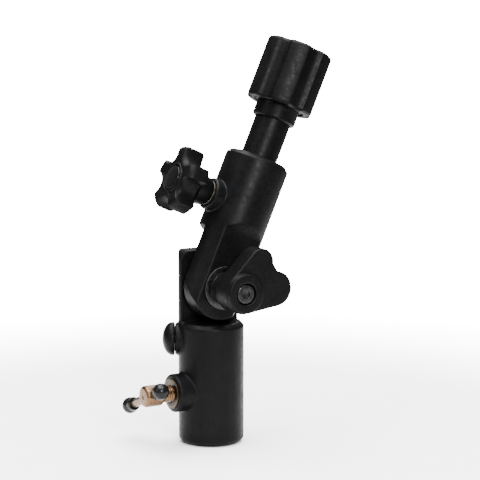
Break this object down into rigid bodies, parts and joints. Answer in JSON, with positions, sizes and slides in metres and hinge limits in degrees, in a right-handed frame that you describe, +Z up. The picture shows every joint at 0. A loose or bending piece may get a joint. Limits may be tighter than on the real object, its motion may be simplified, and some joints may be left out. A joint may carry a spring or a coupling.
{
  "type": "umbrella swivel bracket",
  "caption": "Tilting bracket with a stud receiver below, a clamping lever at its hinge, and a collared stem above that holds an umbrella shaft.",
  "frame": {"origin": "centre of the stud socket's mouth, on the bottom face of the lower receiver", "axes": "+Z up along the socket, +Y along the tilt bolt away from the lever, +X the way the upper receiver leans at rest"},
  "size_m": [0.1034, 0.0622, 0.1985],
  "materials": {
    "black_coat": "satin black powder coat",
    "steel": "zinc-plated steel",
    "black_oxide": "oiled black oxide steel",
    "spring_steel": "bare spring wire",
    "brass": "turned brass",
    "yellow_zinc": "yellow passivated zinc",
    "black_plastic": "fine-grained moulding",
    "black_cap": "smooth moulded cap",
    "white_plastic": "natural moulded nylon"
  },
  "bodies": {
    "lower_receiver": {"lower_housing": "black_coat", "lower_rosette": "steel", "stud_lock_insert": "brass", "plunger_bush": "yellow_zinc", "plunger_spring": "spring_steel", "tilt_bolt": "steel", "bolt_washer": "steel", "release_spring": "spring_steel"},
    "stud_pad": {"stud_lock_pad": "brass"},
    "stud_screw": {"stud_lock_screw": "yellow_zinc"},
    "stud_bar": {"stud_lock_bar": "yellow_zinc", "stud_lock_bar_caps": "black_cap"},
    "plunger": {"plunger_pin": "yellow_zinc", "plunger_knob": "black_plastic"},
    "upper_receiver": {"upper_housing": "black_coat", "upper_rosette": "steel", "pivot_bush": "brass", "shaft_lock_insert": "brass"},
    "shaft_pad": {"shaft_lock_pad": "brass"},
    "shaft_knob": {"shaft_lock_stud": "steel", "star_knob": "black_plastic", "star_knob_cap": "black_cap"},
    "stem": {"stem_tube": "black_coat", "collet_sleeve": "black_plastic", "collet": "white_plastic"},
    "collar_thrust": {"collar_ring": "steel"},
    "collar": {"collar_nut": "black_plastic"},
    "clamp_washer": {"lever_washer": "black_oxide"},
    "lever": {"lever_insert": "black_oxide", "lever_screw": "black_oxide", "lever_spring": "spring_steel"},
    "lever_grip": {"lever_handle": "black_plastic"}
  },
  "joints": [
    {"name": "tilt", "type": "hinge", "parent": "lower_receiver", "child": "upper_receiver", "pos_m": [0, 0, 0.078], "axis": [0, 1, 0], "range_deg": [-114, 66]},
    {"name": "lever_seat", "type": "slide", "parent": "lower_receiver", "child": "clamp_washer", "axis": [0, -1, 0], "range_m": [0, 0.00041667]},
    {"name": "lever_turn", "type": "hinge", "parent": "clamp_washer", "child": "lever", "pos_m": [0, 0, 0.078], "axis": [0, -1, 0], "range_deg": [0, 121]},
    {"name": "lever_lift", "type": "slide", "parent": "lever", "child": "lever_grip", "axis": [0, -1, 0], "range_m": [0, 0.0025], "stiffness_N_per_m": 900, "deforming": ["lever_spring"]},
    {"name": "stud_lock_feed", "type": "slide", "parent": "lower_receiver", "child": "stud_pad", "axis": [-1, 0, 0], "range_m": [-0.00187, 0.00313]},
    {"name": "stud_lock_turn", "type": "hinge", "parent": "stud_pad", "child": "stud_screw", "pos_m": [0, 0, 0.026], "axis": [-1, 0, 0], "range_deg": [-541, 901]},
    {"name": "stud_bar_slide", "type": "slide", "parent": "stud_screw", "child": "stud_bar", "axis": [0, -0.9272, 0.3746], "range_m": [0, 0.0145]},
    {"name": "plunger_pull", "type": "slide", "parent": "lower_receiver", "child": "plunger", "axis": [-0.866, 0.5, 0], "range_m": [0, 0.0025], "stiffness_N_per_m": 1200, "deforming": ["plunger_spring"]},
    {"name": "shaft_lock_feed", "type": "slide", "parent": "upper_receiver", "child": "shaft_pad", "axis": [-0.9135, 0, 0.4067], "range_m": [0, 0.00313]},
    {"name": "shaft_lock_turn", "type": "hinge", "parent": "shaft_pad", "child": "shaft_knob", "pos_m": [0.01647, 0, 0.115], "axis": [-0.9135, 0, 0.4067], "range_deg": [0, 901]},
    {"name": "stem_slide", "type": "slide", "parent": "upper_receiver", "child": "stem", "axis": [0.4067, 0, 0.9135], "range_m": [0, 0.009]},
    {"name": "collar_lift", "type": "slide", "parent": "stem", "child": "collar_thrust", "axis": [0.4067, 0, 0.9135], "range_m": [0, 0.0015]},
    {"name": "collar_turn", "type": "hinge", "parent": "collar_thrust", "child": "collar", "pos_m": [0.04067, 0, 0.16935], "axis": [0.4067, 0, 0.9135], "range_deg": [0, 271]}
  ],
  "couplings": [
    {"joint": "lever_turn", "follows": "lever_seat", "rad_per_m": 5026.5},
    {"joint": "stud_lock_turn", "follows": "stud_lock_feed", "rad_per_m": 5026.5},
    {"joint": "shaft_lock_turn", "follows": "shaft_lock_feed", "rad_per_m": 5026.5},
    {"joint": "collar_turn", "follows": "collar_lift", "rad_per_m": 3141.6}
  ]
}
